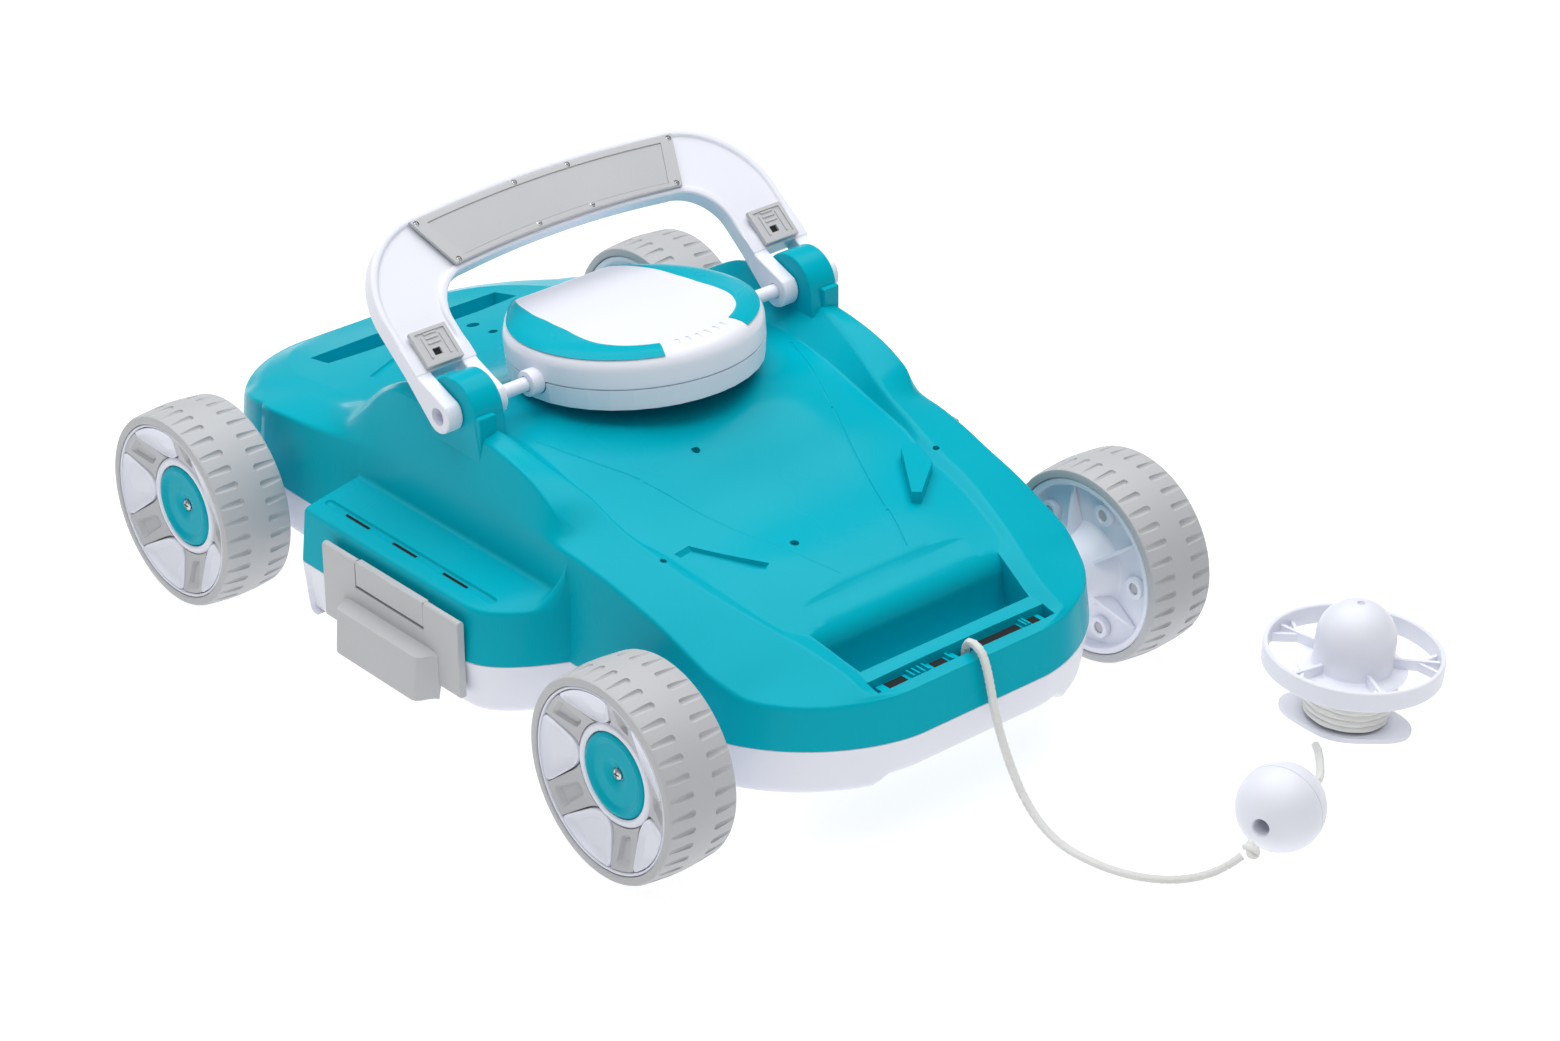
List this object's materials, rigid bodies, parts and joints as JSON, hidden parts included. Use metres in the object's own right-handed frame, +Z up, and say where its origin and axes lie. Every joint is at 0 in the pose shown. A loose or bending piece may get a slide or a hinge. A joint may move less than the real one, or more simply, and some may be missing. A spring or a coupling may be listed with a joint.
{
  "type": "pool cleaner",
  "caption": "Cordless pool floor cleaner: moulded shell on wheels, swinging carry handle, tilting jet puck, side latches, filter and pump stack, pull rope with float ball and reel.",
  "frame": {"origin": "on the floor under the middle of the body, between the wheels", "axes": "+Z up, +Y to the rear, -Y to the rope end (front), +X to the right of the front view"},
  "size_m": [0.3862, 0.5977, 0.2115],
  "materials": {
    "shell_teal": "satin gloss moulded",
    "body_white": "satin moulded",
    "trim_grey": "matte moulded",
    "tyre_grey": "matte",
    "steel": "brushed",
    "dark_rubber": "matte",
    "filter_mesh": "fine mesh",
    "rope_white": "braided"
  },
  "bodies": {
    "chassis": {"top_cover": "shell_teal", "base_tray": "body_white", "latch_block_left": "trim_grey", "latch_block_right": "trim_grey", "latch_pin_left": "steel", "latch_pin_right": "steel", "pivot_pin_left": "trim_grey", "pivot_pin_right": "trim_grey", "filter_frame": "trim_grey", "filter_screen": "filter_mesh", "battery_pack": "dark_rubber", "pump_housing": "trim_grey", "pump_motor": "steel", "jet_duct": "body_white", "suction_skirt": "dark_rubber", "rear_panel": "trim_grey", "slot_guide": "shell_teal", "rope_lead": "rope_white", "rope_knot": "rope_white", "float_ball": "body_white", "rope_link": "rope_white", "rope_winding": "rope_white", "reel": "body_white", "axle_pin_front_left": "steel", "axle_pin_front_right": "steel", "axle_pin_rear_left": "steel", "axle_pin_rear_right": "steel"},
    "wheel_front_left": {"tyre_front_left": "tyre_grey", "rim_front_left": "body_white", "hub_cap_front_left": "shell_teal", "bush_front_left": "trim_grey"},
    "wheel_front_right": {"tyre_front_right": "tyre_grey", "rim_front_right": "body_white", "hub_cap_front_right": "shell_teal", "bush_front_right": "trim_grey"},
    "wheel_rear_left": {"tyre_rear_left": "tyre_grey", "rim_rear_left": "body_white", "hub_cap_rear_left": "shell_teal", "bush_rear_left": "trim_grey"},
    "wheel_rear_right": {"tyre_rear_right": "tyre_grey", "rim_rear_right": "body_white", "hub_cap_rear_right": "shell_teal", "bush_rear_right": "trim_grey"},
    "handle": {"handle_frame": "body_white", "grip_pad": "trim_grey"},
    "puck": {"puck_shell": "body_white", "puck_skirt": "body_white", "crescent_left": "shell_teal", "crescent_right": "shell_teal"},
    "slide_key_left_body": {"slide_key_left": "trim_grey"},
    "side_latch_left_body": {"side_latch_left": "trim_grey"},
    "slide_key_right_body": {"slide_key_right": "trim_grey"},
    "side_latch_right_body": {"side_latch_right": "trim_grey"},
    "impeller_body": {"impeller": "body_white"},
    "flap_front": {"suction_flap_front": "dark_rubber"},
    "flap_rear": {"suction_flap_rear": "dark_rubber"},
    "charge_cap_body": {"charge_cap": "dark_rubber"},
    "power_button_body": {"power_button": "shell_teal"}
  },
  "joints": [
    {"name": "wheel_front_left_spin", "type": "hinge", "parent": "chassis", "child": "wheel_front_left", "pos_m": [-0.1459, -0.16575, 0.05], "axis": [1, 0, 0], "continuous": true},
    {"name": "wheel_front_right_spin", "type": "hinge", "parent": "chassis", "child": "wheel_front_right", "pos_m": [0.1459, -0.16575, 0.05], "axis": [1, 0, 0], "continuous": true},
    {"name": "wheel_rear_left_spin", "type": "hinge", "parent": "chassis", "child": "wheel_rear_left", "pos_m": [-0.1459, 0.16575, 0.05], "axis": [1, 0, 0], "continuous": true},
    {"name": "wheel_rear_right_spin", "type": "hinge", "parent": "chassis", "child": "wheel_rear_right", "pos_m": [0.1459, 0.16575, 0.05], "axis": [1, 0, 0], "continuous": true},
    {"name": "handle_swing", "type": "hinge", "parent": "chassis", "child": "handle", "pos_m": [0, 0.005, 0.147], "axis": [1, 0, 0], "range_deg": [0, 103]},
    {"name": "puck_tilt", "type": "hinge", "parent": "chassis", "child": "puck", "pos_m": [0, 0.005, 0.147], "axis": [1, 0, 0], "range_deg": [0, 10.5]},
    {"name": "slide_key_left_slide", "type": "slide", "parent": "handle", "child": "slide_key_left_body", "axis": [0, 0.7826, 0.6225], "range_m": [0, 0.005]},
    {"name": "side_latch_left_swing", "type": "hinge", "parent": "chassis", "child": "side_latch_left_body", "pos_m": [-0.1524, 0, 0.0744], "axis": [0, 1, 0], "range_deg": [0, 100]},
    {"name": "slide_key_right_slide", "type": "slide", "parent": "handle", "child": "slide_key_right_body", "axis": [0, 0.7826, 0.6225], "range_m": [0, 0.005]},
    {"name": "side_latch_right_swing", "type": "hinge", "parent": "chassis", "child": "side_latch_right_body", "pos_m": [0.1524, 0, 0.0744], "axis": [0, -1, 0], "range_deg": [0, 100]},
    {"name": "impeller_spin", "type": "hinge", "parent": "chassis", "child": "impeller_body", "pos_m": [0, 0.008, 0.092], "axis": [0, 0, 1], "continuous": true},
    {"name": "suction_flap_front_lift", "type": "hinge", "parent": "chassis", "child": "flap_front", "pos_m": [0, -0.039, 0.0317], "axis": [1, 0, 0], "range_deg": [0, 70]},
    {"name": "suction_flap_rear_lift", "type": "hinge", "parent": "chassis", "child": "flap_rear", "pos_m": [0, 0.013, 0.0317], "axis": [1, 0, 0], "range_deg": [0, 70]},
    {"name": "charge_cap_swing", "type": "hinge", "parent": "chassis", "child": "charge_cap_body", "pos_m": [0.0355, 0.2329, 0.0415], "axis": [0, 0, -1], "range_deg": [0, 100]},
    {"name": "power_button_press", "type": "slide", "parent": "chassis", "child": "power_button_body", "axis": [0, -1, 0], "range_m": [0, 0.002], "stiffness_N_per_m": 300, "springref_m": -0.001}
  ],
  "couplings": [
    {"joint": "puck_tilt", "follows": "handle_swing", "ratio": 0.1}
  ]
}
